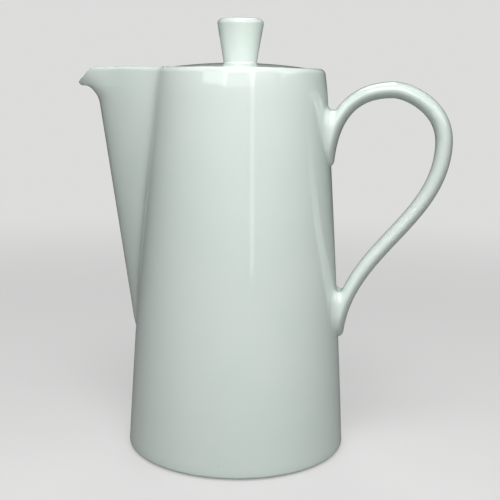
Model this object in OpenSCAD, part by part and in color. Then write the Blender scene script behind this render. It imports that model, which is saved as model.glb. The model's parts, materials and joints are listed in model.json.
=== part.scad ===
// Tall tapered coffee pot with an open V-shaped spout, a strap handle and a lift-off lid.
// Millimetres. The pot's axis is Z and its foot stands on Z = 0. The spout points along -X and
// the handle along +X. Every piece is drawn where it sits with the lid on.

/* [Body] */
// Height of the rim above the table
rim_h = 200; // [170:1:240]
// Outer diameter of the wall, carried down to the table
base_d = 116; // [104:0.2:140]
// Outer diameter at the shoulder, where the wall starts to draw in to the rim
shoulder_d = 90.6; // [88:0.2:100]
// Outer diameter of the rim
rim_d = 86.6; // [86:0.2:88]
// How far the shoulder lies below the rim
shoulder_drop = 15; // [12:0.5:24]
// How far the wall swells out past a straight cone
wall_belly = 0.6; // [0:0.1:3]
// Thickness of the wall
wall_t = 4; // [3:0.1:5]
// Thickness of the floor
floor_t = 4; // [3:0.1:6]
// Rounding of the wall's lower edge
base_round = 1.6; // [1:0.1:4]
// Rounding of the rim's outer edge
rim_round = 2.8; // [0.4:0.1:2.8]
// Rounding of the rim's inner edge
rim_inner_round = 0.9; // [0.4:0.1:1]

/* [Foot] */
// Height of the unglazed foot ring
foot_h = 3; // [2:0.1:5]
// Width of the foot ring
foot_w = 4; // [3:0.1:8]
// Gap between the table and the wall's lower edge
foot_gap = 0.8; // [0.4:0.1:1.8]

/* [Lid seat] */
// Depth of the seat's ledge below the rim
seat_drop = 4.7; // [4.2:0.1:6]
// Width of the ledge
seat_w = 4; // [3:0.1:6]
// Thickness of the ledge
seat_t = 4.8; // [3:0.1:8]

/* [Lid] */
// Diameter of the lid's plate
lid_d = 77.6; // [76:0.2:78]
// Gap all round between the plate and the rim
lid_clear = 0.7; // [0.4:0.1:1]
// Height of the dome above its edge
dome_rise = 3; // [2:0.1:8]
// Thickness of the plate under the dome
lid_t = 3.5; // [3:0.1:4]
// Thickness of the plate's edge
lid_edge_t = 4.3; // [3:0.1:4.5]
// Rounding of the plate's upper edge
lid_round = 1; // [0.4:0.1:1.5]
// How deep the flange hangs below the seat
flange_h = 12; // [6:0.5:20]
// Thickness of the flange
flange_t = 3.5; // [2.5:0.1:4.5]
// Gap all round between the flange and the ledge
flange_clear = 0.8; // [0.5:0.1:1.5]

/* [Knob] */
// Height of the knob above the dome
knob_h = 22.8; // [16:0.2:30]
// Diameter of the knob's head
knob_head_d = 23.6; // [20:0.2:32]
// Diameter of its waist, just above the dome
knob_waist_d = 17; // [14:0.2:20]
// Radius where the waist flares into the dome
knob_flare_r = 0.8; // [0.4:0.1:3]
// Rounding of the head's edge
knob_edge_r = 2.4; // [1:0.1:3]
// Height of the head's crown above its edge
knob_crown = 0.7; // [0.2:0.1:1.5]

/* [Spout] */
// Height at which the keel leaves the wall
spout_low_h = 60; // [50:0.5:90]
// How far the keel's lower end stands proud of the wall
spout_stand = 2; // [1.5:0.1:8]
// How far the keel stands out from the shoulder, under the lip
spout_out = 30.4; // [24:0.1:40]
// How far the lip reaches past the keel
lip_reach = 10.5; // [5:0.1:14]
// Depth of the lip's underside below the rim
lip_depth = 10; // [9:0.2:12]
// Height of the hollow under the lip
lip_hook_h = 10; // [5:0.5:12]
// How far the lip's lower edge rounds out
lip_nose_out = 2.6; // [1:0.1:4]
// Height of that rounding
lip_nose_up = 2.4; // [1:0.1:3]
// How far the lip's top edge falls to its tip
lip_fall = 6.8; // [4:0.2:7.2]
// Angle of that fall below the level
lip_fall_angle = 37; // [25:1:45]
// Radius at the start of the fall
lip_droop_r = 9; // [4:0.5:10]
// How far the spout's top edge lies below the rim
lip_dip = 0.5; // [0:0.1:2]
// Width across the spout's root at the rim
spout_top_w = 48; // [40:1:54]
// Width across the spout's root at its lower end
spout_low_w = 16; // [12:1:24]
// Radius of the keel's nose
spout_nose_r = 7; // [2.5:0.1:9]
// Thickness of the spout's wall
spout_t = 3.6; // [3:0.1:4.5]
// Height of the ring of wall that closes the opening under the rim
bridge_h = 20; // [16:1:30]
// Height of the channel's floor above the keel's lower end
channel_rise = 31.5; // [18:0.5:40]

/* [Handle] */
// Height of the strap's crest, on its centreline
crest_h = 190.1; // [180:0.1:194]
// How far the crest lies from the wall
crest_out = 33.9; // [26:0.1:40]
// How far the strap reaches from the wall, on its centreline
handle_reach = 56.5; // [45:0.5:70]
// Height of the strap's farthest point
reach_h = 164; // [150:0.5:170]
// Height of the upper root's end
upper_root_h = 153; // [145:1:165]
// Height of the lower root's end
lower_root_h = 62; // [50:1:85]
// How deep the strap's centreline lies inside the wall at the upper root's end
upper_root_sink = 1.8; // [0:0.1:2]
// How deep it lies inside the wall at the lower root's end
lower_root_sink = 0.8; // [0:0.1:2]
// Angle at which the strap leaves its roots, out from the vertical
root_lean = 4; // [0:0.5:10]
// Thickness of the strap over its crest
strap_t = 7.9; // [6:0.1:10]
// Thickness of the strap in its far bend
bend_t = 8.7; // [6:0.1:10]
// Thickness of the strap where it joins the wall
root_t = 7.1; // [6:0.1:10]
// Width of the strap
strap_w = 16; // [12:0.5:20]
// Width of the strap where it joins the wall
root_w = 23; // [16:0.5:26]

/* [Hidden] */

glaze = "#EDF0EA";
biscuit = "#D9D4C8";
round_fn = 96;
arc_step = 15;
over = 2; // how far a cutting tool passes the face it cuts

// Wall
base_r = base_d / 2;
rim_r = rim_d / 2;
shoulder_r = shoulder_d / 2;
shoulder_h = rim_h - shoulder_drop;
shoulder_slope = (base_r - shoulder_r + 4 * wall_belly) / shoulder_h;
shoulder_curl = (shoulder_r - rim_r - shoulder_slope * shoulder_drop) / pow(shoulder_drop, 2);
floor_top = foot_h + floor_t;
foot_r = wall_r(foot_h) - wall_t;
wall_bands = 8;
neck_bands = 5;

// Lid and its seat
lid_r = lid_d / 2;
recess_r = lid_r + lid_clear;
seat_z = rim_h - seat_drop;
seat_low = seat_z - seat_t;
seat_r = recess_r - seat_w;
flange_r = seat_r - flange_clear;
flange_in_r = flange_r - flange_t;
dome_edge_z = seat_z + lid_edge_t;
dome_r = (pow(lid_r, 2) + pow(dome_rise, 2)) / (2 * dome_rise);

// Knob
knob_root_r = knob_waist_d / 2 + knob_flare_r;
knob_land_z = dome_z(knob_root_r);
knob_top = knob_land_z + knob_h;
knob_edge_z = knob_top - knob_crown - knob_edge_r;

// Spout
keel_low_r = wall_r(spout_low_h) + spout_stand;
keel_top_r = shoulder_r + spout_out;
lip_under_z = rim_h - lip_depth;
lip_hook_z = lip_under_z - lip_hook_h;
lip_edge_z = rim_h - lip_dip;
keel_lean = (keel_top_r - keel_low_r) / (shoulder_h - spout_low_h);
blunt_h = 6; // height over which the keel's lower end rounds in to the wall
window_top = rim_h - bridge_h;
channel_low = spout_low_h + channel_rise;
spout_bands = 7;
lip_bands = 5;
lip_nose_bands = 3;
nose_steps = 8;
blunt_top = spout_low_h + blunt_h;
spout_levels = concat(
    [for (i = [0:2]) spout_low_h + blunt_h * i / 3],
    [for (i = [0:spout_bands]) blunt_top + (lip_hook_z - blunt_top) * i / spout_bands],
    [for (i = [1:lip_bands]) lip_hook_z + lip_hook_h * sin(90 * i / lip_bands)],
    [for (i = [1:lip_nose_bands]) lip_under_z + lip_nose_up * (1 - cos(90 * i / lip_nose_bands))]);
// The lip's hollow turns into a slope from here up on the spout's sides
lip_slope_low = rim_h - 19;
lip_slope_high = rim_h - 2;
lip_hook_power = 2.5;
lip_side_share = 0.32; // share of the V's sides from which the slope is whole
lip_spread = 0.6; // share of the V's sides that the lip draws out with it
spout_back = 10; // how far the spout's blank passes inside the wall before it is cut

// Handle
strap_sides = 20;
strap_steps = 12;
bend_k = 2 * strap_steps - 2; // number of the ring in the middle of the far bend
// Lengths of the curve's tangents, as shares of the heights and reaches that they span
upper_pull = 0.46;
crest_pull_in = 0.757;
crest_pull_out = 0.257;
reach_pull_up = 0.708;
reach_pull_down = 0.4;
lower_pull = 0.463;

// Outer radius of the wall at height z
function wall_r(z) =
    z < shoulder_h
        ? base_r - (base_r - shoulder_r) * z / shoulder_h
          + 4 * wall_belly * z * (shoulder_h - z) / pow(shoulder_h, 2)
        : shoulder_r - shoulder_slope * (z - shoulder_h) - shoulder_curl * pow(z - shoulder_h, 2);

// Height of the lid's dome at radius r
function dome_z(r) = dome_edge_z + dome_rise - dome_r + sqrt(pow(dome_r, 2) - pow(r, 2));

// Points of an arc about c, of radius r, from angle a to angle b
function arc(c, r, a, b) =
    let (steps = max(1, round(abs(b - a) / arc_step)))
    [for (i = [0:steps]) let (t = a + (b - a) * i / steps) c + r * [cos(t), sin(t)]];

// The wall's outer points from height a up to height b
function wall_points(a, b, steps, inset = 0) =
    [for (i = [0:steps]) let (z = a + (b - a) * i / steps) [wall_r(z) - inset, z]];

// The whole wall's outside as a solid, to cut the spout and the handle to
module wall_core() {
    rotate_extrude($fn = round_fn)
        polygon(concat(
            [[0, 0]],
            wall_points(0, shoulder_h, wall_bands),
            wall_points(shoulder_h, rim_h, neck_bands),
            [[wall_r(rim_h), rim_h + over], [0, rim_h + over]]));
}

function eased(t) = let (u = min(1, max(0, t))) u * u * (3 - 2 * u);

// Keel's distance from the axis at height z without its lip, with the blunt lower end
function keel_r(z) =
    keel_low_r + keel_lean * (min(z, lip_under_z) - spout_low_h)
    - spout_stand * (z < blunt_top ? 1 - sqrt(1 - pow((blunt_top - z) / blunt_h, 2)) : 0);

// The lip fades out along the V's sides; share 0 is the keel and 1 the wall
function lip_fade(share) = pow(1 - pow(min(1, share / lip_spread), 3), 2);

// How far the lip draws a point of the V out at height z: a hollow and a rounded edge on the
// keel, and one slope on the V's sides
function lip_push(z, share) =
    let (
        hollow = lip_reach - lip_nose_out,
        up = min(1, max(0, (z - lip_hook_z) / lip_hook_h)),
        over_edge = max(0, 1 - (z - lip_under_z) / lip_nose_up),
        on_keel = z < lip_under_z
            ? hollow * (1 - pow(1 - pow(up, lip_hook_power), 1 / lip_hook_power))
            : hollow + lip_nose_out * sqrt(1 - pow(over_edge, 2)),
        on_side = lip_reach * eased((z - lip_slope_low) / (lip_slope_high - lip_slope_low)),
        t = eased(share / lip_side_share)
    )
    (on_keel * (1 - t) + on_side * t) * lip_fade(share);

// The same for the channel: the spout's wall is thinner towards the lip's pouring edge
function channel_push(z, share) =
    let (t = eased((z - lip_hook_z) / lip_hook_h))
    lip_push(z - 0.9 * spout_t * t, share) + 1.1 * spout_t * t * lip_fade(share);

// Heights of the spout's plans from a up to b
function levels(a, b) =
    concat([a], [for (z = spout_levels) if (z > a + 0.5 && z < b - 0.5) z], [b]);

// Half the width across the spout's root at height z
function root_half_w(z) =
    let (t = min(1, max(0, (z - spout_low_h) / (rim_h - spout_low_h))))
    (spout_top_w - (spout_top_w - spout_low_w) * pow(1 - t, 2)) / 2;

// Plan of a V with a round nose at height z: it opens from its keel to half-width w at the wall,
// and push says how far the lip draws out each of its points, from the keel to the wall
function vee(z, keel, w, nose, push) =
    let (
        root_x = sqrt(pow(wall_r(min(z, rim_h)), 2) - pow(w, 2)),
        run = max(0.5, keel - root_x),
        nose_2 = min(2 * nose, 0.9 * w * w / run),
        spread = (w * w - nose_2 * run) / (run * run),
        half = [for (i = [0:nose_steps])
            let (d = run * pow(i / nose_steps, 2))
                [keel - d + push[i], sqrt(nose_2 * d + spread * d * d)]]
    )
    concat(
        [[root_x - spout_back, w, z]],
        [for (i = [nose_steps:-1:0]) [half[i][0], half[i][1], z]],
        [for (i = [1:nose_steps]) [half[i][0], -half[i][1], z]],
        [[root_x - spout_back, -w, z]]);

// Solid through a list of plans, each one above the last
module stack(plans) {
    n = len(plans[0]);
    last = len(plans) - 1;
    polyhedron(
        points = [for (plan = plans) for (p = plan) [-p[0], -p[1], p[2]]],
        faces = concat(
            [[for (i = [n - 1:-1:0]) i]],
            [for (k = [0:last - 1]) for (i = [0:n - 1])
                [k * n + i, k * n + (i + 1) % n, (k + 1) * n + (i + 1) % n, (k + 1) * n + i]],
            [[for (i = [0:n - 1]) last * n + i]]),
        convexity = 6);
}

// The spout's channel, cut through the wall, from height a up to height b
module channel(a, b) {
    stack([for (z = levels(a, b))
        vee(z, keel_r(z) - 1.2 * spout_t, root_half_w(z) - 1.15 * spout_t,
            max(1, spout_nose_r - spout_t / 2),
            [for (i = [0:nose_steps]) channel_push(z, i / nose_steps)])]);
}

// Everything above the lip's drooping top edge
module above_lip() {
    tip = [keel_r(rim_h) + lip_reach, lip_edge_z - lip_fall];
    // the arc ends where the straight fall to the tip starts
    corner_x = tip[0] - (lip_fall - lip_droop_r * (1 - cos(lip_fall_angle))) / tan(lip_fall_angle);
    start_x = corner_x - lip_droop_r * sin(lip_fall_angle);
    droop = arc([start_x, lip_edge_z - lip_droop_r], lip_droop_r, 90, 90 - lip_fall_angle);
    far = tip[0] + over;
    rotate([90, 0, 0])
        linear_extrude(height = spout_top_w, center = true)
            mirror([1, 0])
                polygon(concat(
                    [[0, rim_h + 2 * over], [0, rim_h]],
                    droop,
                    [[far, tip[1] - over * tan(lip_fall_angle)], [far, rim_h + 2 * over]]));
}

module body_wall() {
    color(glaze)
        difference() {
            rotate_extrude($fn = round_fn)
                polygon(concat(
                    [[foot_r, foot_gap]],
                    arc([wall_r(foot_gap + base_round) - base_round, foot_gap + base_round],
                        base_round, -90, 0),
                    wall_points(floor_top, shoulder_h, wall_bands),
                    wall_points(shoulder_h + 1, rim_h - rim_round, neck_bands),
                    arc([rim_r - rim_round, rim_h - rim_round], rim_round, arc_step, 90),
                    arc([recess_r + rim_inner_round, rim_h - rim_inner_round],
                        rim_inner_round, 90, 180),
                    [[recess_r, seat_low]],
                    [for (i = [wall_bands:-1:0])
                        let (z = floor_top + (seat_low - wall_t - floor_top) * i / wall_bands)
                        [wall_r(z) - wall_t, z]],
                    [[foot_r, foot_h]]));
            channel(channel_low, window_top);
        }
}

module body_floor() {
    color(glaze)
        rotate_extrude($fn = round_fn)
            polygon([[0, foot_h], [foot_r, foot_h],
                     [wall_r(floor_top) - wall_t, floor_top], [0, floor_top]]);
}

module foot_ring() {
    color(biscuit)
        rotate_extrude($fn = round_fn)
            translate([foot_r - foot_w, 0])
                square([foot_w, foot_h]);
}

module lid_seat() {
    color(glaze)
        rotate_extrude($fn = round_fn)
            polygon([[recess_r, seat_low], [recess_r, seat_z],
                     [seat_r, seat_z], [seat_r, seat_low + seat_t / 2]]);
}

module spout() {
    top = rim_h + over;
    color(glaze)
        difference() {
            stack([for (z = levels(spout_low_h, top))
                vee(z, keel_r(z), root_half_w(z), spout_nose_r,
                    [for (i = [0:nose_steps]) lip_push(z, i / nose_steps)])]);
            channel(channel_low, top + over);
            above_lip();
            wall_core();
        }
}

// Point at t on a cubic curve from a to d, pulled towards b and c
function bezier(a, b, c, d, t) =
    pow(1 - t, 3) * a + 3 * pow(1 - t, 2) * t * b + 3 * (1 - t) * t * t * c + pow(t, 3) * d;

function unit(v) = v / norm(v);

// The strap's centreline, from its upper root round to its lower one
function strap_line() =
    let (
        crest = [wall_r(crest_h) + crest_out, crest_h],
        reach = [wall_r(upper_root_h) + handle_reach, reach_h],
        upper = [wall_r(upper_root_h) - upper_root_sink, upper_root_h],
        lower = [wall_r(lower_root_h) - lower_root_sink, lower_root_h],
        lean = [sin(root_lean), cos(root_lean)],
        curves = [
            [upper, upper + lean * upper_pull * (crest_h - upper_root_h),
             crest - [crest_pull_in * crest_out, 0], crest],
            [crest, crest + [crest_pull_out * (reach[0] - crest[0]), 0],
             reach + [0, reach_pull_up * (crest_h - reach_h)], reach],
            [reach, reach - [0, reach_pull_down * (reach_h - lower_root_h)],
             lower + lean * lower_pull * (reach_h - lower_root_h), lower]])
    concat(
        [for (c = curves) for (i = [0:strap_steps - 1])
            bezier(c[0], c[1], c[2], c[3], i / strap_steps)],
        [lower]);

// Oval of the strap about point k of its line, wider near the ends
function strap_ring(line, k) =
    let (
        last = len(line) - 1,
        along = unit(line[min(last, k + 1)] - line[max(0, k - 1)]),
        out = [along[1], -along[0]],
        near_end = max(0, 1 - min(k, last - k) / (strap_steps - 4)),
        near_bend = max(0, 1 - abs(k - bend_k) / strap_steps),
        half_w = (strap_w + (root_w - strap_w) * near_end * near_end) / 2,
        half_t = (strap_t + (bend_t - strap_t) * near_bend
                  + (root_t - strap_t) * near_end * near_end) / 2
    )
    [for (i = [0:strap_sides - 1])
        let (a = 360 * i / strap_sides, p = line[k] + out * half_t * cos(a))
        [p[0], half_w * sin(a), p[1]]];

module handle() {
    line = strap_line();
    rings = [for (k = [0:len(line) - 1]) strap_ring(line, k)];
    n = strap_sides;
    last = len(rings) - 1;
    color(glaze)
        difference() {
            polyhedron(
                points = [for (ring = rings) for (p = ring) p],
                faces = concat(
                    [[for (i = [n - 1:-1:0]) i]],
                    [for (k = [0:last - 1]) for (i = [0:n - 1])
                        [k * n + i, k * n + (i + 1) % n, (k + 1) * n + (i + 1) % n, (k + 1) * n + i]],
                    [[for (i = [0:n - 1]) last * n + i]]),
                convexity = 6);
            wall_core();
        }
}

module lid_dome() {
    top_points = [for (i = [0:6])
        let (r = knob_root_r + (lid_r - lid_round - knob_root_r) * i / 6) [r, dome_z(r)]];
    under_r = flange_in_r - lid_edge_t / 2;
    under_points = [for (i = [6:-1:0]) let (r = under_r * i / 6) [r, dome_z(r) - lid_t]];
    color(glaze)
        rotate_extrude($fn = round_fn)
            polygon(concat(
                [[0, knob_land_z]],
                top_points,
                arc([lid_r - lid_round, dome_edge_z - lid_round], lid_round, 75, 0),
                [[lid_r, seat_z], [flange_in_r, seat_z]],
                under_points));
}

module lid_flange() {
    color(glaze)
        rotate_extrude($fn = round_fn)
            translate([flange_in_r, seat_z - flange_h])
                square([flange_t, flange_h]);
}

module lid_knob() {
    head_r = knob_head_d / 2;
    color(glaze)
        rotate_extrude($fn = round_fn)
            polygon(concat(
                [[0, knob_land_z]],
                arc([knob_root_r, knob_land_z + knob_flare_r], knob_flare_r, 270, 180),
                arc([head_r - knob_edge_r, knob_edge_z], knob_edge_r, 0, 75),
                [[(head_r - knob_edge_r) * 0.6, knob_top - 0.35 * knob_crown], [0, knob_top]]));
}

body_wall();
body_floor();
foot_ring();
lid_seat();
spout();
handle();
lid_dome();
lid_flange();
lid_knob();
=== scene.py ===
import json
import math

import bmesh
import bpy
from mathutils import Matrix, Vector
from mathutils.bvhtree import BVHTree

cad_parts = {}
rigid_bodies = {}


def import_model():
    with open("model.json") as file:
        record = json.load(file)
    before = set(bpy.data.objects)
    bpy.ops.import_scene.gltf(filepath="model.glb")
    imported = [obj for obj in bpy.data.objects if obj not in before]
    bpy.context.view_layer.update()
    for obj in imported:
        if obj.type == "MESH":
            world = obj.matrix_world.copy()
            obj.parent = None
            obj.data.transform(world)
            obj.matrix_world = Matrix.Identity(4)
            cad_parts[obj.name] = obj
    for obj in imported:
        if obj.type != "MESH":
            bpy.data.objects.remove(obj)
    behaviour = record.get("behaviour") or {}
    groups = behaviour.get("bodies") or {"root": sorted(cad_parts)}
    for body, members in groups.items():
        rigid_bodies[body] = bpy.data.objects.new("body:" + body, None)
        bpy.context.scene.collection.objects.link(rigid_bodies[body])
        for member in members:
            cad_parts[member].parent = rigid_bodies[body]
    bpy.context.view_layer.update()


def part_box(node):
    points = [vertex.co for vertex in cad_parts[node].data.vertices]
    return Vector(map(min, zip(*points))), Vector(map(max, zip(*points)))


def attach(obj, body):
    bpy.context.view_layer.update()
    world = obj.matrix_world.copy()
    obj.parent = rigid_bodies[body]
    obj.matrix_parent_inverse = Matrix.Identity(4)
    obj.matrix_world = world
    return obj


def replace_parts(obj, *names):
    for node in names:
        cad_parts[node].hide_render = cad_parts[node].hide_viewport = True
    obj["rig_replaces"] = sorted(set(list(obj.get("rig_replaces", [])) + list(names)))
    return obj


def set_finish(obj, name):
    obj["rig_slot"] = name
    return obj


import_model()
mm = 0.001
mergeWithin = 0.004 * mm       # points of a mesh that are this close become one

# The eye stands on the pot's left front side: the handle is turned a little towards it
view = {
    "distance": 486 * mm,      # from the pot's axis, level
    "height": 194 * mm,
    "aside": 6.37 * mm,        # how far the eye stands to the right of the axis
    "turn": 10.0,              # degrees that the handle is turned towards the eye
    "pitch": 10.36,
    "roll": 0.81,
    "lens": 66.96,
    "sensorWidth": 36.0,
    "clipStart": 0.01,
}


def placeCamera():
    turn, pitch, roll = (math.radians(view[k]) for k in ("turn", "pitch", "roll"))
    look = Vector((-math.sin(turn), math.cos(turn), 0))
    side = Vector((look.y, -look.x, 0))
    eye = side * view["aside"] - look * view["distance"] + Vector((0, 0, view["height"]))
    ahead = look * math.cos(pitch) - Vector((0, 0, math.sin(pitch)))
    up = side.cross(ahead)
    right = side * math.cos(roll) + up * math.sin(roll)
    top = up * math.cos(roll) - side * math.sin(roll)
    bpy.ops.object.select_all(action="DESELECT")
    bpy.ops.object.camera_add(location=eye)
    camera = bpy.context.object
    camera.name = "camera"
    camera.matrix_world = Matrix.Translation(eye) @ Matrix((right, top, -ahead)).transposed().to_4x4()
    camera.data.lens = view["lens"]
    camera.data.sensor_width = view["sensorWidth"]
    camera.data.clip_start = view["clipStart"]
    bpy.context.scene.camera = camera
    return side, look


sideways, lookAhead = placeCamera()
print("camera placed")


def spread(start, end, steps):
    return [start + (end - start) * i / steps for i in range(steps + 1)]


def mix(a, b, t):
    return a + (b - a) * t


def eased(t):
    t = min(1, max(0, t))
    return t * t * (3 - 2 * t)


def arc(x, z, radius, start, end, steps=8):
    angles = [math.radians(a) for a in spread(start, end, steps)]
    return [(x + radius * math.cos(a), z + radius * math.sin(a)) for a in angles]


def smoothed(piece, angle=40):
    bpy.ops.object.select_all(action="DESELECT")
    piece.select_set(True)
    bpy.context.view_layer.objects.active = piece
    bpy.ops.object.shade_smooth_by_angle(angle=math.radians(angle))


# Turns a closed piece's faces outwards and leaves edit mode. A thin sharp edge can mislead the
# first try, so the sign of the volume is looked at too.
def turnOutwards(piece):
    bpy.ops.mesh.select_all(action="SELECT")
    bpy.ops.mesh.normals_make_consistent(inside=False)
    bpy.ops.object.mode_set(mode="OBJECT")
    shape = bmesh.new()
    shape.from_mesh(piece.data)
    isInsideOut = shape.calc_volume(signed=True) < 0
    shape.free()
    if isInsideOut:
        bpy.ops.object.mode_set(mode="EDIT")
        bpy.ops.mesh.flip_normals()
        bpy.ops.object.mode_set(mode="OBJECT")


# The piece stands for a node of the frame, moves with its body and takes its finish
def belongs(piece, body, node, slot="glazed_porcelain"):
    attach(piece, body)
    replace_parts(piece, node)
    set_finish(piece, slot)


# A closed outline, in millimetres from the axis and up, is drawn point by point and spun round
def spun(name, outline, steps=192):
    bpy.ops.object.select_all(action="DESELECT")
    bpy.ops.mesh.primitive_plane_add(size=mm)
    piece = bpy.context.object
    piece.name = piece.data.name = name
    bpy.ops.object.mode_set(mode="EDIT")
    bpy.ops.mesh.merge(type="CENTER")
    chain = list(outline) + [outline[0]]
    bpy.ops.transform.translate(value=(chain[0][0] * mm, 0, chain[0][1] * mm))
    for (x, z), (nextX, nextZ) in zip(chain, chain[1:]):
        step = ((nextX - x) * mm, 0, (nextZ - z) * mm)
        bpy.ops.mesh.extrude_vertices_move(TRANSFORM_OT_translate={"value": step})
    bpy.ops.mesh.select_all(action="SELECT")
    bpy.ops.mesh.spin(steps=steps, angle=math.tau, center=(0, 0, 0), axis=(0, 0, 1))
    bpy.ops.mesh.select_all(action="SELECT")
    bpy.ops.mesh.remove_doubles(threshold=mergeWithin)
    bpy.ops.mesh.delete_loose()     # what is left of a line along the axis
    turnOutwards(piece)
    smoothed(piece)
    return piece


# A grid is wrapped through rows of points, each row a closed ring. Its ends are filled,
# unless the last ring is the first one again.
def wrapped(name, rings, angle=40):
    across = len(rings[0])
    hasEnds = (Vector(rings[0][0]) - Vector(rings[-1][0])).length > 0.01
    bpy.ops.object.select_all(action="DESELECT")
    bpy.ops.mesh.primitive_grid_add(x_subdivisions=across, y_subdivisions=len(rings) - 1, size=1)
    piece = bpy.context.object
    piece.name = piece.data.name = name
    for vertex in piece.data.vertices:
        row, column = divmod(vertex.index, across + 1)
        vertex.co = Vector(rings[row][column % across]) * mm
    bpy.ops.object.mode_set(mode="EDIT")
    bpy.ops.mesh.select_all(action="SELECT")
    bpy.ops.mesh.remove_doubles(threshold=mergeWithin)
    bpy.ops.mesh.select_all(action="DESELECT")
    bpy.ops.mesh.select_mode(type="EDGE")
    if hasEnds:
        bpy.ops.mesh.select_non_manifold()
        bpy.ops.mesh.edge_face_add()
    bpy.ops.mesh.select_mode(type="VERT")
    turnOutwards(piece)
    smoothed(piece, angle)
    return piece


wall = {
    "rimHeight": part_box("body_wall")[1].z / mm,
    "gap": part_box("body_wall")[0].z / mm,
    "baseRadius": 58.0,
    "shoulderRadius": 45.3,
    "rimRadius": 43.3,
    "shoulderDrop": 15.0,
    "belly": 0.6,              # swell past a straight cone
    "thickness": 4.0,
    "baseRound": 1.6,
    "edgeRound": 3.1,          # outer edge of the rim and of the spout's top
    "innerRound": 0.9,
    "recessRadius": 39.5,      # the hollow that the lid's plate sits in
    "steps": 240,              # columns of faces round it
    "outerRows": 62,
    "shoulderRows": 10,
    "innerRows": 60,
    "windowTop": 180.0,        # the opening to the spout
    "windowLow": 91.5,
    "windowColumns": 9,        # columns of faces on each side of its middle
    "windowReach": 60.0,       # degrees over which the other columns make room for it
    "windowMargin": 8.0,       # the columns stand upright from this far above and below it
}
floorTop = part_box("body_floor")[1].z / mm
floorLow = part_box("body_floor")[0].z / mm
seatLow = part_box("lid_seat")[0].z / mm
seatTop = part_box("lid_seat")[1].z / mm
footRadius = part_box("foot_ring")[1].x / mm
rimHeight = wall["rimHeight"]
shoulderHeight = rimHeight - wall["shoulderDrop"]
shoulderSlope = (wall["baseRadius"] - wall["shoulderRadius"] + 4 * wall["belly"]) / shoulderHeight
shoulderCurl = ((wall["shoulderRadius"] - wall["rimRadius"] - shoulderSlope * wall["shoulderDrop"])
                / wall["shoulderDrop"] ** 2)


# Outer radius of the wall at a height, in millimetres
def wallRadius(z):
    if z < shoulderHeight:
        t = z / shoulderHeight
        return mix(wall["baseRadius"], wall["shoulderRadius"], t) + 4 * wall["belly"] * t * (1 - t)
    up = z - shoulderHeight
    return wall["shoulderRadius"] - shoulderSlope * up - shoulderCurl * up * up


spout = {
    "lowHeight": 60.0,
    "stand": 2.05,             # how far its keel stands off the wall at its lower end
    "out": 30.4,               # and at the height of the wall's shoulder
    "bluntHeight": 6.0,
    "lipReach": 10.5,
    "lipDepth": 10.0,          # the lip's underside below the rim
    "lipSpread": 0.6,          # share of the V's sides that the lip draws out with it
    "hookHeight": 10.0,        # the hollow under the lip
    "hookPower": 2.5,
    "noseOut": 2.6,            # rounding of the lip's lower edge
    "noseUp": 2.4,
    "slopeLow": 181.0,         # heights between which the lip draws out the V's sides
    "slopeHigh": 198.0,
    "slopeShare": 0.32,
    "edgeSlope": (60.0, 76.0),  # distances between which its top edge comes down by the dip
    "lipDip": 0.5,
    "lipFall": 6.8,            # its top edge falls this far more to the tip
    "fallAngle": 37.0,
    "droopRadius": 9.0,
    "topWidth": 48.0,
    "lowWidth": 16.0,
    "noseRadius": 7.0,
    "noseMost": 0.9,           # share of the V's width that its round nose may take up
    "leastDepth": 0.5,
    "tipRound": 1.2,           # its top edge is rounded less at the tip
    "tipShare": 0.35,
    "thickness": 3.6,
    "keelWall": 1.2,           # how thick it is at the keel and at the sides, in thicknesses
    "sideWall": 1.15,
    "edgeWall": 3.4,           # thickness of the rim where the spout has run out into it
    "lipThinning": 1.1,        # how much thinner the lip's wall is, in thicknesses
    "lipLag": 0.9,             # how far below the lip its hollow runs, in thicknesses
    "fillet": 3.0,             # difference of radii within which spout and wall blend
    "lowFillet": 0.5,          # the same at its lower end
    "filletRise": 40.0,        # height over which the one becomes the other
    "flare": 20.0,             # degrees that the blend may run on round the wall
    "flareSteps": 64,
    "scoop": 12.0,             # height over which the channel's floor comes out of the pot
    "keelSettle": 6.0,         # height over which the channel comes down from the top edge
    "sideSettle": 14.0,
    "outRoundMost": 0.62,      # its edges' roundings, in thicknesses, where it is thin
    "inRoundMost": 0.36,
    "liningTurn": 0.0006,      # radians that the sides of its opening stand off the wall's
    "liningShort": 0.8,
    "hidden": 1.5,             # depth in the wall at which it is closed
    "skin": 0.004,             # how far its edge stands off the wall, and sinks in at the blend's end
    "buried": 0.03,
    "clearance": 0.05,
    "bottom": 4.0,             # it starts this far below its keel's lower end
    "hookRun": 4.0,            # the lip's rows of faces run on this far below it
    "margin": 2.0,             # and those of other stretches this far past them
    "keelColumns": 26,
    "flareColumns": 8,
    "footRows": 18,
    "bodyRows": 44,
    "lipRows": 16,
    "channelRows": 36,
    "scoopRows": 24,
}
keelLow = wallRadius(spout["lowHeight"]) + spout["stand"]
keelTop = wall["shoulderRadius"] + spout["out"]
keelLean = (keelTop - keelLow) / (shoulderHeight - spout["lowHeight"])
lipHeight = rimHeight - spout["lipDepth"]
hookHeight = lipHeight - spout["hookHeight"]
lipEdge = rimHeight - spout["lipDip"]
tipRadius = keelLow + keelLean * (lipHeight - spout["lowHeight"]) + spout["lipReach"]
bluntTop = spout["lowHeight"] + spout["bluntHeight"]


# Distance of the spout's keel from the axis, without its lip
def keelRadius(z):
    radius = keelLow + keelLean * (min(z, lipHeight) - spout["lowHeight"])
    if z < bluntTop:
        t = (bluntTop - z) / spout["bluntHeight"]
        radius -= spout["stand"] * (1 - math.sqrt(1 - t * t) if t < 1 else 1 + 4 * (t - 1))
    return radius


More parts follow.
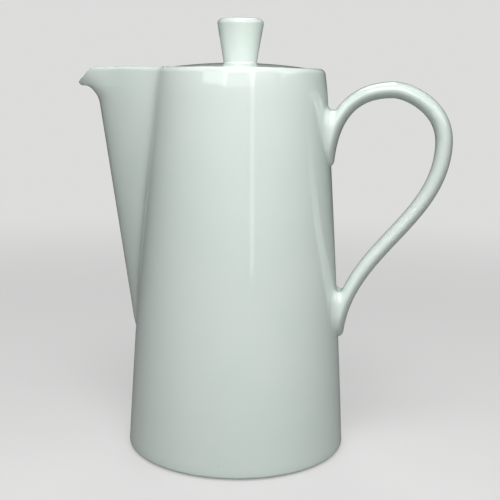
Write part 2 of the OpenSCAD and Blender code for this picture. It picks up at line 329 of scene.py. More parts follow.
# How far the lip draws a point of the V out, at a height: on the keel a hollow and then a
# rounded edge, which turn into one slope on the V's sides and fade out along them
def lipPush(z, share):
    hollow = spout["lipReach"] - spout["noseOut"]
    if z < lipHeight:
        t = max(0, (z - hookHeight) / spout["hookHeight"])
        push = hollow * (1 - (1 - t ** spout["hookPower"]) ** (1 / spout["hookPower"]))
    else:
        t = max(0, 1 - (z - lipHeight) / spout["noseUp"])
        push = hollow + spout["noseOut"] * math.sqrt(1 - t * t)
    slope = spout["lipReach"] * eased((z - spout["slopeLow"]) / (spout["slopeHigh"] - spout["slopeLow"]))
    fade = (1 - min(1, share / spout["lipSpread"]) ** 3) ** 2
    return mix(push, slope, eased(share / spout["slopeShare"])) * fade


# The same for the channel: the spout's wall is thinner towards the lip's pouring edge
def channelPush(z, share):
    t = eased((z - hookHeight) / spout["hookHeight"])
    fade = (1 - min(1, share / spout["lipSpread"]) ** 3) ** 2
    thinner = spout["lipThinning"] * spout["thickness"] * t * fade
    return lipPush(z - spout["lipLag"] * spout["thickness"] * t, share) + thinner


# Half the width of the spout where it meets the wall
def rootHalfWidth(z):
    t = min(1, max(0, (z - spout["lowHeight"]) / (rimHeight - spout["lowHeight"])))
    return (spout["topWidth"] - (spout["topWidth"] - spout["lowWidth"]) * (1 - t) ** 2) / 2


def channelHalfWidth(z):
    return rootHalfWidth(z) - spout["sideWall"] * spout["thickness"]


# Angle from the spout's plane to the side of the opening in the wall
def windowAngle(z):
    return math.asin(channelHalfWidth(z) / wallRadius(min(z, rimHeight)))


def outlineOfWall():
    base, neckTop = wall["gap"] + wall["baseRound"], rimHeight - wall["edgeRound"]
    outline = [(footRadius, wall["gap"])]
    outline += arc(wallRadius(base) - wall["baseRound"], base, wall["baseRound"], -90, 0, 10)
    rows = spread(base, shoulderHeight, wall["outerRows"])[1:]
    rows += spread(shoulderHeight, neckTop, wall["shoulderRows"])[1:-1]
    outline += [(wallRadius(z), z) for z in rows]
    outline += arc(wallRadius(neckTop) - wall["edgeRound"], neckTop, wall["edgeRound"], 6, 90, 10)
    outline += arc(wall["recessRadius"] + wall["innerRound"], rimHeight - wall["innerRound"],
                   wall["innerRound"], 90, 180)
    outline += [(wall["recessRadius"], seatLow)]
    inner = spread(seatLow - wall["thickness"], floorTop, wall["innerRows"])
    outline += [(wallRadius(z) - wall["thickness"], z) for z in inner]
    outline += [(footRadius, floorLow)]
    return outline


def angleFromSpout(co):
    return math.atan2(co.y, -co.x)


# The columns near the spout slide round the wall until two of them follow the opening's sides
def slideColumns(piece):
    evenEdge = math.tau / wall["steps"] * wall["windowColumns"]
    reach = math.radians(wall["windowReach"])
    lowest = wall["windowLow"] - wall["windowMargin"]
    highest = wall["windowTop"] + wall["windowMargin"]
    for vertex in piece.data.vertices:
        angle = angleFromSpout(vertex.co)
        size = abs(angle)
        radius = math.hypot(vertex.co.x, vertex.co.y)
        if size > reach or radius < mm:
            continue
        edge = windowAngle(min(highest, max(lowest, vertex.co.z / mm)))
        if size <= evenEdge + 1e-4:
            size *= edge / evenEdge
        else:
            size = edge + (reach - edge) * (size - evenEdge) / (reach - evenEdge)
        angle = math.copysign(size, angle)
        vertex.co.x = -radius * math.cos(angle)
        vertex.co.y = radius * math.sin(angle)


# Goes into edit mode with only the wanted faces selected
def selectFaces(piece, wanted):
    bpy.ops.object.mode_set(mode="EDIT")
    bpy.ops.mesh.select_mode(type="FACE")
    bpy.ops.mesh.select_all(action="DESELECT")
    bpy.ops.object.mode_set(mode="OBJECT")
    for face in piece.data.polygons:
        face.select = wanted(face)
    bpy.ops.object.mode_set(mode="EDIT")


def inWindow(face):
    z = face.center.z / mm
    if not wall["windowLow"] < z < wall["windowTop"] or abs(face.normal.z) > 0.5:
        return False
    return abs(angleFromSpout(face.center)) < windowAngle(z)


def cutWindow(piece):
    selectFaces(piece, inWindow)
    bpy.ops.mesh.delete(type="FACE")
    bpy.ops.mesh.select_mode(type="EDGE")
    bpy.ops.mesh.select_all(action="DESELECT")
    bpy.ops.mesh.select_non_manifold()
    bpy.ops.mesh.bridge_edge_loops()
    turnOutwards(piece)


def makeWall():
    piece = spun("pot_wall", outlineOfWall(), steps=wall["steps"])
    slideColumns(piece)
    cutWindow(piece)
    smoothed(piece)
    belongs(piece, "pot", "body_wall")


makeWall()
print("wall made")


# The larger of two radii, rounded where they come within reach of each other
def softMax(a, b, reach):
    near = max(0, reach - abs(a - b)) / reach
    return max(a, b) + near * near * reach / 4


# A V with a round nose at a height: its keel, its depth, and the two numbers of its curve
def veeNumbers(z, keel, halfWidth, nose):
    rootX = math.sqrt(wallRadius(min(z, rimHeight)) ** 2 - halfWidth ** 2)
    run = max(spout["leastDepth"], keel - rootX)
    bend = min(2 * nose, spout["noseMost"] * halfWidth ** 2 / run)
    return keel, run, bend, (halfWidth ** 2 - bend * run) / run ** 2


def veePoint(vee, share):
    keel, run, bend, opening = vee
    depth = run * share * share
    return keel - depth, math.sqrt(bend * depth + opening * depth * depth)


# Distance from the axis to the V's side at an angle from the spout's plane
def veeRadius(vee, angle):
    keel, run, bend, opening = vee
    slope = math.tan(angle) ** 2
    b = bend + 2 * keel * slope
    root = math.sqrt(b * b + 4 * (opening - slope) * keel * keel * slope)
    depth = 2 * keel * keel * slope / (b + root)
    return (keel - depth) / math.cos(angle)


def outerVee(z):
    return veeNumbers(z, keelRadius(z), rootHalfWidth(z), spout["noseRadius"])


def channelVee(z):
    nose = max(1, spout["noseRadius"] - spout["thickness"] / 2)
    keel = keelRadius(z) - spout["keelWall"] * spout["thickness"]
    return veeNumbers(z, keel, channelHalfWidth(z), nose)


# Difference of radii within which spout and wall blend: it is small at the keel's lower end
def blendReach(z):
    t = (z - spout["lowHeight"]) / spout["filletRise"]
    return mix(spout["lowFillet"], spout["fillet"], eased(t))


# Angle at which the blend into the wall ends
def flareEnd(z, vee, rootAngle):
    radius = wallRadius(min(z, rimHeight))
    step = math.radians(spout["flare"]) / spout["flareSteps"]
    angle = rootAngle
    for _ in range(spout["flareSteps"]):
        if not -0.01 < radius - veeRadius(vee, angle) < blendReach(z):
            break
        angle += step
    return angle


# A point of the spout's outside, at a height: share 0 is the keel, 1 the root and 2 the blend's end
def outerPoint(z, share):
    vee = outerVee(z)
    radius = wallRadius(min(z, rimHeight))
    x, y = veePoint(vee, 1)
    rootAngle = math.atan2(y, x)
    if share <= 1:
        x, y = veePoint(vee, share)
        angle = math.atan2(y, x)
        side, fade = veeRadius(vee, angle), 1
    else:
        end = flareEnd(z, vee, rootAngle)
        angle = mix(rootAngle, end, share - 1)
        side, fade = min(radius, veeRadius(vee, angle)), 1 - eased((share - 1.5) * 2)
    distance = softMax(side, radius, blendReach(z))
    distance = radius + (distance - radius) * fade + spout["skin"]
    if share == 2:
        distance -= spout["buried"]
    return Vector((distance * math.cos(angle) + lipPush(z, share), distance * math.sin(angle), z))


# Height of the spout's top edge at a distance out from the axis
def topEdge(x):
    angle, droop = math.radians(spout["fallAngle"]), spout["droopRadius"]
    corner = tipRadius - (spout["lipFall"] - droop * (1 - math.cos(angle))) / math.tan(angle)
    start = corner - droop * math.sin(angle)
    if x < start:
        near, far = spout["edgeSlope"]
        return mix(rimHeight - spout["skin"], lipEdge, eased((x - near) / (far - near)))
    if x < corner:
        return lipEdge - droop + math.sqrt(droop ** 2 - (x - start) ** 2)
    return lipEdge - spout["lipFall"] + max(0, tipRadius - x) * math.tan(angle)


# A point of the channel in the spout, at a height. Past share 1 it is a side of the opening.
def innerPoint(z, share):
    if share <= 1:
        x, y = veePoint(channelVee(z), share)
        scoopTop = wall["windowLow"] + spout["scoop"]
        if z < scoopTop:
            t = max(0, (scoopTop - z) / spout["scoop"])
            inside = wallRadius(z) - wall["thickness"] - spout["clearance"]
            angle, distance = math.atan2(y, x), math.hypot(x, y)
            distance = mix(inside, distance, math.sqrt(1 - t * t))
            x, y = distance * math.cos(angle), distance * math.sin(angle)
        return Vector((x + channelPush(z, share), y, z))
    angle = windowAngle(z) - spout["liningTurn"] * (1 - eased(share - 1) * 2)
    depth = wall["thickness"] - spout["liningShort"]
    distance = wallRadius(min(z, rimHeight)) - (share - 1) * depth
    return Vector((distance * math.cos(angle), distance * math.sin(angle), z))


# Height of the top edge at one share of the V, found where its side meets the edge's slope
def topOfSide(share):
    top = rimHeight
    for _ in range(30):
        reach = outerPoint(min(top, rimHeight), share)
        top = mix(top, topEdge(reach.x), 0.5)
    return top


# The level direction from the spout's outside to its inside, and how thick it is there
def acrossSpout(z, share):
    across = innerPoint(z, min(1, share)) - outerPoint(z, min(1, share))
    across.z = 0
    thick = across.length
    across.normalize()
    if share > 1:
        outside = outerPoint(z, share)
        radial = Vector((-outside.x, -outside.y, 0)).normalized()
        thick = mix(thick, spout["edgeWall"], share - 1)
        across = (across * (2 - share) + radial * (share - 1)).normalized()
    return across, thick


# Heights of a ring's points up the outside, closest together where the lip curls out
def outsideRows(foot, shoulder):
    low = bluntTop + spout["margin"]
    rows = spread(foot, low, spout["footRows"])[:-1] + spread(low, hookHeight, spout["bodyRows"])
    nose = min(spout["noseUp"], shoulder - spout["clearance"] - lipHeight)
    turns = [math.pi / 2 * t for t in spread(0, 1, spout["lipRows"])[1:]]
    rows += [hookHeight + spout["hookHeight"] * math.sin(turn) for turn in turns]
    rows += [lipHeight + nose * (1 - math.cos(turn)) for turn in turns]
    return rows + spread(rows[-1], shoulder, 5)[1:]


def channelRows(top):
    hookEnd = hookHeight - spout["hookRun"]
    scoopStart = wall["windowLow"] + spout["scoop"] + spout["margin"]
    rows = spread(top, hookEnd, spout["lipRows"])[1:]
    rows += spread(hookEnd, scoopStart, spout["channelRows"])[1:]
    return rows + spread(scoopStart, wall["windowLow"], spout["scoopRows"])[1:]


# Over the top edge: a quarter round, a level stretch and a smaller quarter round
def overEdge(edge, across, thick, outRound, inRound):
    points = []
    for a in spread(0, 90, 8)[1:]:
        turn = math.radians(a)
        points.append(edge + across * outRound * (1 - math.cos(turn))
                      + Vector((0, 0, outRound * math.sin(turn))))
    flat = edge + across * (thick - inRound) + Vector((0, 0, outRound))
    for a in spread(0, 90, 6):
        turn = math.radians(a)
        points.append(flat + across * inRound * math.sin(turn)
                      - Vector((0, 0, inRound * (1 - math.cos(turn)))))
    return points


# One ring of the spout: up its outside, over the top edge, down the channel and back in the wall
def spoutRing(share):
    top = topOfSide(share)
    across, thick = acrossSpout(top, share)
    outRound = mix(spout["tipRound"], wall["edgeRound"], eased(share / spout["tipShare"]))
    outRound = min(outRound, spout["outRoundMost"] * thick)
    inRound = min(wall["innerRound"], spout["inRoundMost"] * thick)
    foot = spout["lowHeight"] - spout["bottom"]
    points = [outerPoint(z, share) for z in outsideRows(foot, top - outRound)]
    angle = math.atan2(points[0].y, points[0].x)
    points += overEdge(points[-1], across, thick, outRound, inRound)
    lip = points[-1]
    settle = spout["keelSettle"] if share <= 1 else spout["sideSettle"]
    for z in channelRows(lip.z):
        start = Vector((lip.x, lip.y, z))
        points.append(start.lerp(innerPoint(z, share), eased((lip.z - z) / settle)))
    for z in spread(wall["windowLow"] - spout["margin"], foot, 8):
        distance = wallRadius(z) - spout["hidden"]
        points.append(Vector((distance * math.cos(angle), distance * math.sin(angle), z)))
    return points


def makeSpout():
    shares = spread(0, 1, spout["keelColumns"])
    shares += spread(1, 2, spout["flareColumns"])[1:]
    half = [spoutRing(share) for share in shares]
    rings = [[(-p.x, -p.y, p.z) for p in ring] for ring in half[:0:-1]]
    rings += [[(-p.x, p.y, p.z) for p in ring] for ring in half]
    belongs(wrapped("pot_spout", rings), "pot", "spout")


makeSpout()
print("spout made")


handle = {
    "crestHeight": 190.1,
    "crestOut": 33.9,
    "reach": 56.5,
    "reachHeight": 164.0,
    "upperHeight": 153.0,
    "lowerHeight": 62.0,
    "upperSink": 1.8,
    "lowerSink": 0.8,
    "lean": 4.0,
    "upperPull": 0.46,         # lengths of the curves' tangents, as shares of what they span
    "crestPullIn": 0.757,
    "crestPullOut": 0.257,
    "reachPullUp": 0.708,
    "reachPullDown": 0.4,
    "lowerPull": 0.463,
    "thickness": 7.9,
    "bendThickness": 8.7,
    "rootThickness": 7.1,
    "bendShare": 0.4,          # how far along it the far bend is
    "bendReach": 0.25,
    "width": 16.0,
    "rootWidth": 23.0,
    "rootLength": 50.0,        # length over which it widens to a root
    "upperTip": 2.8,           # how far a root runs on past the end of its curve
    "lowerTip": 0.8,
    "taper": 15.0,             # length over which a root's end narrows
    "endRound": 3.5,
    "buried": 2.0,             # the deepest that it goes into the wall
    "sides": 80,
    "endRings": 26,            # rings in each taper, and between them
    "middleRings": 130,
    "curveSteps": 120,
    "glance": 0.8,             # how far it looks ahead and back for its direction
    "upperMiddle": 165.0,      # heights about which the roots' fillets run
    "lowerMiddle": 74.0,
    "upperCrotch": 2.8,        # radii of the fillets in the crotches, at the sides and at the tips
    "lowerCrotch": 1.8,
    "sideFillet": 6.0,
    "tipFillet": 0.9,
    "filletSteps": 160,
    "filletRows": 12,
    "filletDepth": 0.6,        # how far a fillet goes in under its surface
}


def bezier(a, b, c, d, t):
    return a * (1 - t) ** 3 + b * (3 * t * (1 - t) ** 2) + c * (3 * t * t * (1 - t)) + d * t ** 3


# The strap's centreline in the XZ plane, from its upper root round to its lower one
def strapLine():
    h = handle
    upper = Vector((wallRadius(h["upperHeight"]) - h["upperSink"], h["upperHeight"]))
    crest = Vector((wallRadius(h["crestHeight"]) + h["crestOut"], h["crestHeight"]))
    reach = Vector((wallRadius(h["upperHeight"]) + h["reach"], h["reachHeight"]))
    lower = Vector((wallRadius(h["lowerHeight"]) - h["lowerSink"], h["lowerHeight"]))
    lean = Vector((math.sin(math.radians(h["lean"])), math.cos(math.radians(h["lean"]))))
    out, up = Vector((1, 0)), Vector((0, 1))
    rise, fall = h["crestHeight"] - h["upperHeight"], h["reachHeight"] - h["lowerHeight"]
    curves = [
        (upper, upper + lean * h["upperPull"] * rise,
         crest - out * h["crestPullIn"] * h["crestOut"], crest),
        (crest, crest + out * h["crestPullOut"] * (reach.x - crest.x),
         reach + up * h["reachPullUp"] * (h["crestHeight"] - h["reachHeight"]), reach),
        (reach, reach - up * h["reachPullDown"] * fall,
         lower + lean * h["lowerPull"] * fall, lower)]
    down = -lean
    down.x *= -1
    line = [upper + down * h["upperTip"]]
    for curve in curves:
        line += [bezier(*curve, t) for t in spread(0, 1, h["curveSteps"])[:-1]]
    return line + [lower, lower + down * h["lowerTip"]]


# Rings stand closer together towards the two ends
def ringPlaces(length):
    taper, count = handle["taper"], handle["endRings"]
    near = [taper * ((i + 0.6) / count) ** 2 for i in range(count)]
    middle = spread(taper, length - taper, handle["middleRings"])
    return near + middle + [length - place for place in near[::-1]]


# Rings round the strap: it widens to its roots, and their ends taper into the wall
def strapRings():
    line = strapLine()
    lengths = [0]
    for a, b in zip(line, line[1:]):
        lengths.append(lengths[-1] + (b - a).length)

    def pointAt(place):
        place = min(lengths[-1], max(0, place))
        k = next(i for i in range(1, len(lengths)) if lengths[i] >= place)
        return line[k - 1].lerp(line[k], (place - lengths[k - 1]) / (lengths[k] - lengths[k - 1]))

    rings = []
    for place in ringPlaces(lengths[-1]):
        middle = pointAt(place)
        glance = handle["glance"]
        along = (pointAt(place + glance) - pointAt(place - glance)).normalized()
        out = Vector((along.y, -along.x))
        fromEnd = min(place, lengths[-1] - place)
        nearEnd = eased(1 - fromEnd / handle["rootLength"])
        taper = math.sqrt(1 - max(0, 1 - fromEnd / handle["taper"]) ** 2)
        rounding = math.sqrt(1 - max(0, 1 - fromEnd / handle["endRound"]) ** 2)
        halfWidth = mix(handle["width"], handle["rootWidth"], nearEnd) / 2 * taper
        fromBend = abs(place / lengths[-1] - handle["bendShare"])
        nearBend = eased(1 - fromBend / handle["bendReach"])
        thickness = mix(handle["thickness"], handle["bendThickness"], nearBend)
        halfThickness = mix(thickness, handle["rootThickness"], nearEnd) / 2 * rounding
        ring = []
        for a in spread(0, math.tau, handle["sides"])[:-1]:
            p = middle + out * halfThickness * math.cos(a)
            y = halfWidth * math.sin(a)
            deepest = wallRadius(p.y) - handle["buried"]
            radius = math.hypot(p.x, y)
            grow = max(1, deepest / radius)
            ring.append(Vector((p.x * grow, y * grow, p.y)))
        rings.append(ring)
    return rings


# A point off the wall, at a way round it and a height, and the point of the wall below it
def offWall(around, z, off):
    angle = around / wallRadius(z)
    slope = (wallRadius(z + 1) - wallRadius(z - 1)) / 2
    normal = Vector((math.cos(angle), math.sin(angle), -slope)).normalized()
    foot = Vector((wallRadius(z) * math.cos(angle), wallRadius(z) * math.sin(angle), z))
    return foot + normal * off, foot


# A ball is rolled round a root between wall and strap, and leaves its track as a fillet
def makeFillet(skin, middle, crotch):
    h = handle
    rings = []
    for turn in spread(0, math.tau, h["filletSteps"]):
        across, up = math.sin(turn), math.cos(turn)
        radius = mix(h["sideFillet"], crotch if up > 0 else h["tipFillet"], up * up)
        near, far = 0, 30
        for _ in range(24):
            reach = (near + far) / 2
            ball, foot = offWall(reach * across, middle + reach * up, radius)
            touch, outward, _, gap = skin.find_nearest(ball * mm)
            if (ball * mm - touch).dot(outward) < 0 or gap < radius * mm:
                near = reach
            else:
                far = reach
        toWall, toStrap = (foot - ball) / radius, (touch / mm - ball).normalized()
        opening = toWall.angle(toStrap)
        ways = [(toWall * math.sin((1 - t) * opening) + toStrap * math.sin(t * opening)).normalized()
                for t in spread(0, 1, h["filletRows"])]
        rings.append([ball + way * radius for way in ways]
                     + [ball + way * (radius + h["filletDepth"]) for way in reversed(ways)])
    return wrapped("pot_handle_fillet", rings, angle=60)


def makeHandle():
    piece = wrapped("pot_handle", strapRings())
    points = [v.co for v in piece.data.vertices]
    skin = BVHTree.FromPolygons(points, [face.vertices for face in piece.data.polygons])
    fillets = [makeFillet(skin, handle["upperMiddle"], handle["upperCrotch"]),
               makeFillet(skin, handle["lowerMiddle"], handle["lowerCrotch"])]
    bpy.ops.object.select_all(action="DESELECT")
    for part in fillets + [piece]:
        part.select_set(True)
    bpy.context.view_layer.objects.active = piece
    bpy.ops.object.join()
    belongs(piece, "pot", "handle")


makeHandle()
print("handle made")


floorPiece = {
    "cove": 5.0,               # rounding between floor and wall, inside
    "lift": 0.3,               # its underside stands this far above the foot ring's top
    "edgeLift": 0.2,
    "inset": 3.9,
    "lap": 0.1,                # how far it goes into the wall
}


def makeFloor():
    underside, cove = floorLow + floorPiece["lift"], floorPiece["cove"]
    edge = wallRadius(floorTop) - wall["thickness"]
    coveTop = floorTop + cove
    outline = [(0, underside), (footRadius - floorPiece["inset"], underside)]
    outline += [(footRadius, floorLow + floorPiece["edgeLift"])]
    outline += [(wallRadius(coveTop) - wall["thickness"] + floorPiece["lap"], coveTop)]
    outline += arc(edge - cove, coveTop, cove, -4, -90, 8)
    outline += [(0, floorTop)]
    belongs(spun("pot_floor", outline), "pot", "body_floor")


footRing = {"width": 4.0, "round": 1.2}


def makeFootRing():
    top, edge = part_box("foot_ring")[1].z / mm, footRing["round"]
    inner = footRadius - footRing["width"]
    outline = [(footRadius, top), (inner, top)]
    outline += arc(inner + edge, edge, edge, 180, 270, 6)
    outline += arc(footRadius - edge, edge, edge, 270, 360, 6)
    belongs(spun("foot_ring_bare", outline), "pot", "foot_ring", "bare_porcelain")


seat = {"innerRadius": 35.5, "bevel": 0.8, "lap": 0.3}


def makeSeat():
    inner, bevel = seat["innerRadius"], seat["bevel"]
    outer = wall["recessRadius"] + seat["lap"]
    outline = [(outer, seatLow), (outer, seatTop)]
    outline += arc(inner + bevel, seatTop - bevel, bevel, 90, 180, 6)
    outline += [(inner, (seatTop + seatLow) / 2)]
    belongs(spun("lid_seat_ledge", outline), "pot", "lid_seat")


makeFloor()
makeFootRing()
makeSeat()
print("floor, foot and seat made")


lid = {
    "radius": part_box("lid_dome")[1].x / mm,
    "rise": 3.0,
    "edge": 4.3,
    "thickness": 3.5,
    "round": 1.0,
    "lowRound": 0.5,
    "hollowRadius": 30.5,      # its underside is hollow out to here
    "levelRadius": 31.2,       # and level from here on
    "flangeThickness": 3.5,
    "flangeRound": 1.2,
    "knobWaist": 8.5,
    "knobHead": 11.8,
    "knobFlare": 0.8,
    "knobEdge": 2.4,
    "knobCrown": 0.7,
    "knobSink": 0.3,           # how far its foot goes into the dome
}
domeEdge = seatTop + lid["edge"]
domeRadius = (lid["radius"] ** 2 + lid["rise"] ** 2) / (2 * lid["rise"])


def domeHeight(r):
    return domeEdge + lid["rise"] - domeRadius + math.sqrt(domeRadius ** 2 - r ** 2)


def makeDome():
    edge, lowRound = lid["radius"] - lid["round"], lid["lowRound"]
    outline = [(0, domeHeight(0))]
    outline += [(r, domeHeight(r)) for r in spread(2, edge, 24)]
    outline += arc(edge, domeEdge - lid["round"] + 0.2, lid["round"], 80, 0, 6)
    outline += arc(lid["radius"] - lowRound, seatTop + lowRound, lowRound, 0, -90, 4)
    under = spread(lid["hollowRadius"], 0, 12)
    outline += [(lid["levelRadius"], seatTop)]
    outline += [(r, domeHeight(r) - lid["thickness"]) for r in under]
    belongs(spun("lid_top", outline), "lid", "lid_dome")


def makeFlange():
    low, top = (v.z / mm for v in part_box("lid_flange"))
    outer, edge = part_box("lid_flange")[1].x / mm, lid["flangeRound"]
    inner = outer - lid["flangeThickness"]
    outline = [(inner, top), (outer, top)]
    outline += arc(outer - edge, low + edge, edge, 0, -90, 6)
    outline += arc(inner + edge, low + edge, edge, -90, -180, 6)
    belongs(spun("lid_skirt", outline), "lid", "lid_flange")


def makeKnob():
    low, top = (v.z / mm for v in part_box("lid_knob"))
    waist, head, flare, edge = (lid[k] for k in ("knobWaist", "knobHead", "knobFlare", "knobEdge"))
    root = waist + flare
    edgeZ = top - lid["knobCrown"] - edge
    lean = math.degrees(math.atan((head - waist) / (edgeZ - low)))
    outline = [(0, low - 1), (root, domeHeight(root) - lid["knobSink"])]
    outline += arc(root, domeHeight(root) + flare, flare, 270, 180 + lean, 8)
    outline += arc(head - edge, edgeZ, edge, -lean, 84, 16)
    inner, crown = outline[-1][0], top - outline[-1][1]
    outline += [(r, top - crown * (r / inner) ** 2) for r in spread(inner, 0, 8)[1:]]
    belongs(spun("lid_knob_turned", outline), "lid", "lid_knob")


makeDome()
makeFlange()
makeKnob()
print("lid made")


# A socket in a material's maths: expressions on it add the nodes that work them out
class Value:
    def __init__(self, maker, socket):
        self.maker, self.socket = maker, socket

    def math(self, operation, other, flipped=False):
        values = (other, self) if flipped else (self, other)
        return self.maker.node("ShaderNodeMath", {"operation": operation}, values)

    def __add__(self, other):
        return self.math("ADD", other)

    def __sub__(self, other):
        return self.math("SUBTRACT", other)

    def __mul__(self, other):
        return self.math("MULTIPLY", other)

    def __truediv__(self, other):
        return self.math("DIVIDE", other)

    def __rsub__(self, other):
        return self.math("SUBTRACT", other, flipped=True)

    def __rtruediv__(self, other):
        return self.math("DIVIDE", other, flipped=True)

    __radd__ = __add__
    __rmul__ = __mul__

    def clamped(self):
        return self.maker.node("ShaderNodeClamp", {}, (self, 0, 1))


# Adds nodes to one material, or to the world
class Nodes:
    def __init__(self, owner):
        owner.use_nodes = True
        self.tree = owner.node_tree
        self.tree.nodes.clear()

    def node(self, kind, settings=None, values=(), output=0):
        made = self.tree.nodes.new(kind)
        for name, setting in (settings or {}).items():
            setattr(made, name, setting)
        pairs = values.items() if isinstance(values, dict) else enumerate(values)
        for key, value in pairs:
            if isinstance(value, Value):
                self.tree.links.new(value.socket, made.inputs[key])
            elif value is not None:
                made.inputs[key].default_value = value
        return Value(self, made.outputs[output]) if len(made.outputs) else None

    def mixed(self, factor, a, b):
        settings = {"data_type": "RGBA", "clamp_factor": True}
        return self.node("ShaderNodeMix", settings, {0: factor, 6: a, 7: b}, output=2)


def newMaterial(name):
    material = bpy.data.materials.new(name)
    return material, Nodes(material)


stage = {
    "size": 8.0,
    "paper": (0.80, 0.80, 0.79, 1),
    "roughness": 0.9,
    "bounce": (0.30, 0.30, 0.30, 1),      # the paper as the pot's light meets it
    "glow": 0.55,                         # share of the backdrop's own tone in the paper
    "backdrop": (0.72, 0.72, 0.715, 1),   # what the camera sees past the floor
    "fadeFrom": 0.25,                     # the floor turns into the backdrop between these distances
    "fadeTo": 0.9,
    "surround": (0.90, 0.95, 1.0, 1),     # the room's own light on the pot
    "surroundStrength": 0.06,
}


def makeStage():
    bpy.ops.object.select_all(action="DESELECT")
    bpy.ops.mesh.primitive_plane_add(size=stage["size"], location=(0, 0, 0))
    floor = bpy.context.object
    floor.name = "studio_floor"
    material, nodes = newMaterial("studio_paper")
    seen = nodes.node("ShaderNodeLightPath", output=0)
    tone = nodes.mixed(seen, stage["bounce"], stage["paper"])
    finish = {"Base Color": tone, "Roughness": stage["roughness"]}
    paper = nodes.node("ShaderNodeBsdfPrincipled", {}, finish)
    backdrop = nodes.node("ShaderNodeEmission", {}, (stage["backdrop"], 1.0))
    place = nodes.node("ShaderNodeTexCoord", output=3)
    distance = nodes.node("ShaderNodeVectorMath", {"operation": "LENGTH"}, (place,), output=1)
    fade = {"Value": distance, "From Min": stage["fadeFrom"], "From Max": stage["fadeTo"],
            "To Min": stage["glow"]}
    far = nodes.node("ShaderNodeMapRange", {"interpolation_type": "SMOOTHSTEP"}, fade)
    both = nodes.node("ShaderNodeMixShader", {}, (far * seen, paper, backdrop))
    nodes.node("ShaderNodeOutputMaterial", {}, {"Surface": both})
    floor.data.materials.append(material)


def makeWorld():
    world = bpy.data.worlds.new("studio")
    bpy.context.scene.world = world
    nodes = Nodes(world)
    seen = nodes.node("ShaderNodeLightPath", output=0)
    room = nodes.node("ShaderNodeBackground", {}, (stage["surround"], stage["surroundStrength"]))
    backdrop = nodes.node("ShaderNodeBackground", {}, (stage["backdrop"], 1.0))
    both = nodes.node("ShaderNodeMixShader", {}, (seen, room, backdrop))
    nodes.node("ShaderNodeOutputWorld", {}, {"Surface": both})


lights = {
    # name: degrees right of the camera, degrees up, distance, width and height, watts
    "window_high": (0, 45, 0.9, (0.5, 0.5), 2.4),
    "skylight": (0, 60, 0.7, (0.4, 0.3), 2.6),
    "window_low": (0, 26, 0.72, (0.5, 0.22), 0.55),
    "left_low": (-32, 26, 0.75, (0.4, 0.22), 0.7),
    "right_low": (30, 28, 0.75, (0.4, 0.22), 0.25),
    "fill_right": (70, 30, 1.1, (0.5, 0.5), 1.6),
    "behind": (180, 50, 1.2, (0.5, 0.5), 3.0),
    "window_slit": (16, 9, 0.63, (0.05, 0.34), 0.07),
}
lampAim = Vector((0, 0, 130 * mm))


def makeLight(name):
    turn, up, distance, size, power = lights[name]
    turn, up = math.radians(turn), math.radians(up)
    towards = (sideways * math.sin(turn) - lookAhead * math.cos(turn)) * math.cos(up)
    place = lampAim + (towards + Vector((0, 0, math.sin(up)))) * distance
    bpy.ops.object.select_all(action="DESELECT")
    bpy.ops.object.light_add(type="AREA", location=place)
    lamp = bpy.context.object
    lamp.name = name
    lamp.data.shape = "RECTANGLE"
    lamp.data.size, lamp.data.size_y = size
    lamp.data.energy = power
    lamp.visible_camera = False
    lamp.rotation_euler = (lampAim - place).to_track_quat("-Z", "Y").to_euler()


def noise(nodes, place, size, detail):
    return nodes.node("ShaderNodeTexNoise", {}, {"Vector": place, "Scale": 1 / size, "Detail": detail})


# Patches of a noise above a level, with edges that are steeper the larger the gain
def patches(pattern, level, gain):
    return ((pattern - level) * gain).clamped()


def bumped(nodes, relief):
    return nodes.node("ShaderNodeBump", {}, {"Strength": 1.0, "Distance": 1.0, "Height": relief})


glaze = {
    "body": (0.75, 0.83, 0.78, 1),        # white porcelain under clear glaze
    "thick": (0.69, 0.795, 0.735, 1),     # where the glaze lies thicker
    "cloud": 0.07,                        # metres across a cloud of thicker glaze
    "cloudLevel": 0.42,
    "cloudGain": 4,
    "cloudShare": 0.6,
    "roll": 0.007,                        # height over which it has run together at the foot
    "rollShare": 0.8,
    "roughness": 0.05,
    "roughnessSpread": 0.03,
    "ior": 1.5,
    "coat": 0.35,
    "coatRoughness": 0.03,
    "ripple": 0.018,                      # the long waves that its reflections show
    "rippleHeight": 0.00004,
    "peel": 0.0014,                       # the fine skin on them
    "peelHeight": 0.0000006,
    "speckSpacing": 0.011,
    "speckRadius": 0.00016,
    "speckShare": 0.22,                   # share of the places that have a speck
    "speckStrength": 0.7,
    "speck": (0.36, 0.31, 0.25, 1),
}


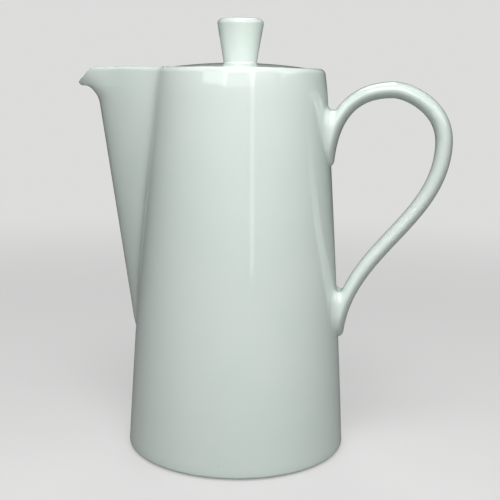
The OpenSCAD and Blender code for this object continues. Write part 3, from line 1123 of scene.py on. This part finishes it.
# Clear glossy glaze over white porcelain, a little greener where it is thick, with a few fine specks
def makeGlaze():
    material, nodes = newMaterial("porcelain_glaze")
    place = nodes.node("ShaderNodeTexCoord", output=3)
    height = nodes.node("ShaderNodeSeparateXYZ", {}, (place,), output=2)
    cloud = patches(noise(nodes, place, glaze["cloud"], 3.0), glaze["cloudLevel"], glaze["cloudGain"])
    roll = (1 - height / glaze["roll"]).clamped()
    thick = (cloud * glaze["cloudShare"] + roll * glaze["rollShare"]).clamped()
    colour = nodes.mixed(thick, glaze["body"], glaze["thick"])
    spacing = {"Vector": place, "Scale": 1 / glaze["speckSpacing"], "Randomness": 1.0}
    distance = nodes.node("ShaderNodeTexVoronoi", {}, spacing)
    chance = nodes.node("ShaderNodeTexVoronoi", {}, spacing, output=1)
    kept = nodes.node("ShaderNodeSeparateColor", {}, (chance,)).math("LESS_THAN", glaze["speckShare"])
    radius = glaze["speckRadius"] / glaze["speckSpacing"]
    speck = (2 - distance / radius).clamped() * kept * glaze["speckStrength"]
    colour = nodes.mixed(speck, colour, glaze["speck"])
    ripple = noise(nodes, place, glaze["ripple"], 1.0)
    peel = noise(nodes, place, glaze["peel"], 2.0)
    normal = bumped(nodes, ripple * glaze["rippleHeight"] + peel * glaze["peelHeight"])
    shader = nodes.node("ShaderNodeBsdfPrincipled", {}, {
        "Base Color": colour, "Roughness": glaze["roughness"] + peel * glaze["roughnessSpread"],
        "IOR": glaze["ior"], "Coat Weight": glaze["coat"], "Coat Roughness": glaze["coatRoughness"],
        "Normal": normal})
    nodes.node("ShaderNodeOutputMaterial", {}, {"Surface": shader})
    return material


biscuit = {
    "colour": (0.80, 0.78, 0.73, 1),
    "worn": (0.66, 0.63, 0.57, 1),        # where it has rubbed on tables
    "grain": 0.0006,
    "grainHeight": 0.00002,
    "grainShare": 0.35,
    "patch": 0.012,
    "patchLevel": 0.45,
    "patchGain": 3,
    "patchShare": 0.6,
    "roughness": 0.78,
    "roughnessSpread": 0.15,
}


# Bare fired porcelain: matt, slightly sandy, and a little dirty where it rubs
def makeBiscuit():
    material, nodes = newMaterial("porcelain_biscuit")
    place = nodes.node("ShaderNodeTexCoord", output=3)
    grain = noise(nodes, place, biscuit["grain"], 4.0)
    patch = patches(noise(nodes, place, biscuit["patch"], 4.0), biscuit["patchLevel"], biscuit["patchGain"])
    worn = (patch * biscuit["patchShare"] + grain * biscuit["grainShare"]).clamped()
    shader = nodes.node("ShaderNodeBsdfPrincipled", {}, {
        "Base Color": nodes.mixed(worn, biscuit["colour"], biscuit["worn"]),
        "Roughness": biscuit["roughness"] + grain * biscuit["roughnessSpread"],
        "Normal": bumped(nodes, grain * biscuit["grainHeight"])})
    nodes.node("ShaderNodeOutputMaterial", {}, {"Surface": shader})
    return material


# The ledge and the lid's rim are wiped bare of glaze where they would stick together in the kiln
def bareWhereTheyTouch(piece, bare):
    piece.data.materials.append(bare)
    for face in piece.data.polygons:
        radius = math.hypot(face.center.x, face.center.y) / mm
        isLevel = abs(face.center.z / mm - seatTop) < 0.05 and abs(face.normal.z) > 0.9
        if isLevel and radius < wall["recessRadius"]:
            face.material_index = 1


glazed, bare = makeGlaze(), makeBiscuit()
for piece in list(bpy.data.objects):
    if piece.type == "MESH" and "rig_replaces" in piece:
        piece.data.materials.clear()
        piece.data.materials.append(bare if piece["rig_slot"] == "bare_porcelain" else glazed)
        if piece.name in ("lid_seat_ledge", "lid_top"):
            bareWhereTheyTouch(piece, bare)
makeStage()
makeWorld()
for name in lights:
    makeLight(name)
print("finishes and lights made")

bpy.context.scene.view_settings.view_transform = "Standard"
